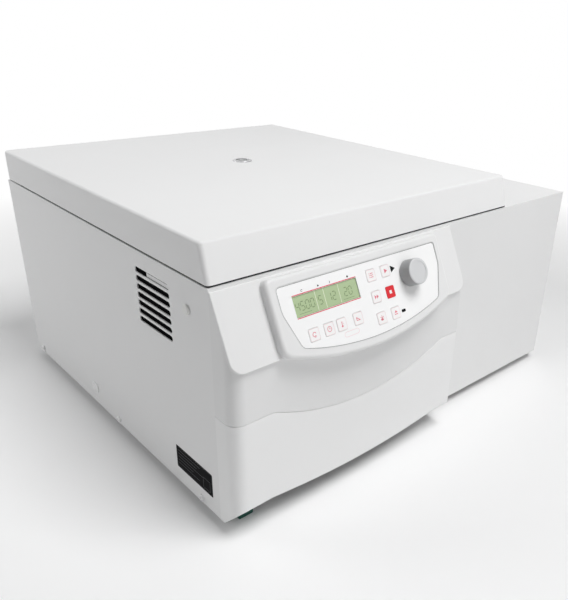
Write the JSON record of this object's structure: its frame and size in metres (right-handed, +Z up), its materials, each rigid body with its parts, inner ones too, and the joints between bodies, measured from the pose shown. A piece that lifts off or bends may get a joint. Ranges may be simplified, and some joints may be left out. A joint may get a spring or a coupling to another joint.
{
  "type": "microplate centrifuge",
  "caption": "Low bench centrifuge with a flat hinged lid, sloping keypad with display and knob, swing-out plate rotor in a steel chamber, and a cooling unit beside it.",
  "frame": {"origin": "middle of the whole object's bounding box, on the ground under the feet", "axes": "+X to the right seen from the control panel (the cooling unit is on +X), -Y out of the front where the control panel is, +Z up"},
  "size_m": [0.721, 0.6647, 0.3732],
  "materials": {
    "cabinet_paint": "satin powder coat",
    "pan_steel": "satin zinc-grey paint",
    "foot_rubber": "matte dark green",
    "fixing_paint": "satin white",
    "plug_plastic": "matte off-white",
    "bowl_steel": "brushed stainless",
    "seal_rubber": "matte black",
    "guard_steel": "grey primer",
    "foam": "cream foam",
    "copper": "drawn copper",
    "motor_paint": "cast and turned",
    "bearing_steel": "polished",
    "shaft_steel": "ground",
    "rotor_alloy": "anodised satin",
    "carrier_alloy": "anodised satin",
    "nut_steel": "polished",
    "compressor_paint": "black enamel",
    "fin_alloy": "mill",
    "shroud_steel": "zinc plated",
    "fan_plastic": "matte black",
    "inlet_plastic": "matte black",
    "rocker_plastic": "gloss black",
    "heat_sink": "extruded",
    "hinge_steel": "zinc plated",
    "lid_paint": "satin white moulding",
    "liner_paint": "satin pale grey",
    "sight_clear": "clear",
    "ring_steel": "polished",
    "lock_steel": "zinc plated",
    "moulding_upper": "satin white moulding",
    "moulding_lower": "satin white moulding",
    "bezel_plastic": "satin white moulding",
    "foil": "fine textured foil",
    "display": "green display window",
    "board": "green solder mask",
    "key_white": "soft white",
    "key_red": "red",
    "knob_grey": "satin grey"
  },
  "bodies": {
    "cabinet": {"base_pan": "pan_steel", "left_side_panel": "cabinet_paint", "rear_panel": "cabinet_paint", "front_panel": "cabinet_paint", "side_unit_cover": "cabinet_paint", "top_deck": "cabinet_paint", "feet": "foot_rubber", "panel_fixings": "fixing_paint", "chamber_bowl": "bowl_steel", "chamber_gasket": "seal_rubber", "guard_ring": "guard_steel", "chamber_insulation": "foam", "shaft_boot": "seal_rubber", "motor_housing": "motor_paint", "shaft_bearings": "bearing_steel", "rubber_mounts": "seal_rubber", "motor_plate": "guard_steel", "compressor": "compressor_paint", "condenser_coil": "fin_alloy", "fan_shroud": "shroud_steel", "refrigerant_lines": "copper", "power_inlet": "inlet_plastic", "motor_drive": "heat_sink", "hinge_brackets": "hinge_steel", "lock_frame": "lock_steel", "fascia_upper": "moulding_upper", "fascia_lower": "moulding_lower", "control_bezel": "bezel_plastic", "keypad_foil": "foil", "display_module": "display", "control_board": "board"},
    "lid": {"lid_shell": "lid_paint", "lid_liner": "liner_paint", "lid_gasket": "seal_rubber", "sight_glass": "sight_clear", "sight_glass_ring": "ring_steel", "lid_strikers": "lock_steel", "hinge_leaves": "hinge_steel", "hinge_pins": "bearing_steel"},
    "rotor": {"drive_shaft": "shaft_steel", "rotor_head": "rotor_alloy", "rotor_nut": "nut_steel"},
    "carrier_a": {"plate_carrier_a": "carrier_alloy"},
    "carrier_b": {"plate_carrier_b": "carrier_alloy"},
    "fan": {"condenser_fan": "fan_plastic"},
    "latch": {"latch_shaft": "shaft_steel"},
    "plug": {"release_plug": "plug_plastic"},
    "rocker": {"rocker_switch": "rocker_plastic"},
    "knob": {"control_knob": "knob_grey", "encoder_shaft": "shaft_steel"},
    "program_key": {"key_program": "key_white"},
    "start_key": {"key_start": "key_white"},
    "quick_key": {"key_quick": "key_white"},
    "stop_key": {"key_stop": "key_red"},
    "cool_key": {"key_cool": "key_white"},
    "lid_key": {"key_lid": "key_white"},
    "speed_key": {"key_speed": "key_white"},
    "time_key": {"key_time": "key_white"},
    "temperature_key": {"key_temperature": "key_white"},
    "brake_key": {"key_brake": "key_white"}
  },
  "joints": [
    {"name": "lid_hinge", "type": "hinge", "parent": "cabinet", "child": "lid", "pos_m": [-0.08634, 0.31298, 0.356], "axis": [-1, 0, 0], "range_deg": [0, 75]},
    {"name": "rotor_spin", "type": "hinge", "parent": "cabinet", "child": "rotor", "pos_m": [-0.08634, 0.04898, 0.15], "axis": [0, 0, 1], "continuous": true},
    {"name": "carrier_a_swing", "type": "hinge", "parent": "rotor", "child": "carrier_a", "pos_m": [-0.01134, 0.04898, 0.24], "axis": [0, -1, 0], "range_deg": [0, 90]},
    {"name": "carrier_b_swing", "type": "hinge", "parent": "rotor", "child": "carrier_b", "pos_m": [-0.16134, 0.04898, 0.24], "axis": [0, 1, 0], "range_deg": [0, 90]},
    {"name": "fan_spin", "type": "hinge", "parent": "cabinet", "child": "fan", "pos_m": [0.27316, 0.29448, 0.1325], "axis": [0, 1, 0], "continuous": true},
    {"name": "latch_turn", "type": "hinge", "parent": "cabinet", "child": "latch", "pos_m": [-0.08634, -0.22652, 0.2915], "axis": [1, 0, 0], "range_deg": [0, 45]},
    {"name": "release_plug_pull", "type": "slide", "parent": "cabinet", "child": "plug", "axis": [-1, 0, 0], "range_m": [0, 0.02]},
    {"name": "mains_rocker", "type": "hinge", "parent": "cabinet", "child": "rocker", "pos_m": [-0.198, 0.32601, 0.086], "axis": [1, 0, 0], "range_deg": [0, 14]},
    {"name": "knob_turn", "type": "hinge", "parent": "cabinet", "child": "knob", "pos_m": [-0.0745, -0.29189, 0.28038], "axis": [0, -0.9026, 0.4305], "continuous": true},
    {"name": "program_key_press", "type": "slide", "parent": "cabinet", "child": "program_key", "axis": [0, 0.9026, -0.4305], "range_m": [0, 0.0005], "stiffness_N_per_m": 1500, "springref_m": -0.0005},
    {"name": "start_key_press", "type": "slide", "parent": "cabinet", "child": "start_key", "axis": [0, 0.9026, -0.4305], "range_m": [0, 0.0005], "stiffness_N_per_m": 1500, "springref_m": -0.0005},
    {"name": "quick_key_press", "type": "slide", "parent": "cabinet", "child": "quick_key", "axis": [0, 0.9026, -0.4305], "range_m": [0, 0.0005], "stiffness_N_per_m": 1500, "springref_m": -0.0005},
    {"name": "stop_key_press", "type": "slide", "parent": "cabinet", "child": "stop_key", "axis": [0, 0.9026, -0.4305], "range_m": [0, 0.0005], "stiffness_N_per_m": 1500, "springref_m": -0.0005},
    {"name": "cool_key_press", "type": "slide", "parent": "cabinet", "child": "cool_key", "axis": [0, 0.9026, -0.4305], "range_m": [0, 0.0005], "stiffness_N_per_m": 1500, "springref_m": -0.0005},
    {"name": "lid_key_press", "type": "slide", "parent": "cabinet", "child": "lid_key", "axis": [0, 0.9026, -0.4305], "range_m": [0, 0.0005], "stiffness_N_per_m": 1500, "springref_m": -0.0005},
    {"name": "speed_key_press", "type": "slide", "parent": "cabinet", "child": "speed_key", "axis": [0, 0.9026, -0.4305], "range_m": [0, 0.0005], "stiffness_N_per_m": 1500, "springref_m": -0.0005},
    {"name": "time_key_press", "type": "slide", "parent": "cabinet", "child": "time_key", "axis": [0, 0.9026, -0.4305], "range_m": [0, 0.0005], "stiffness_N_per_m": 1500, "springref_m": -0.0005},
    {"name": "temperature_key_press", "type": "slide", "parent": "cabinet", "child": "temperature_key", "axis": [0, 0.9026, -0.4305], "range_m": [0, 0.0005], "stiffness_N_per_m": 1500, "springref_m": -0.0005},
    {"name": "brake_key_press", "type": "slide", "parent": "cabinet", "child": "brake_key", "axis": [0, 0.9026, -0.4305], "range_m": [0, 0.0005], "stiffness_N_per_m": 1500, "springref_m": -0.0005}
  ]
}
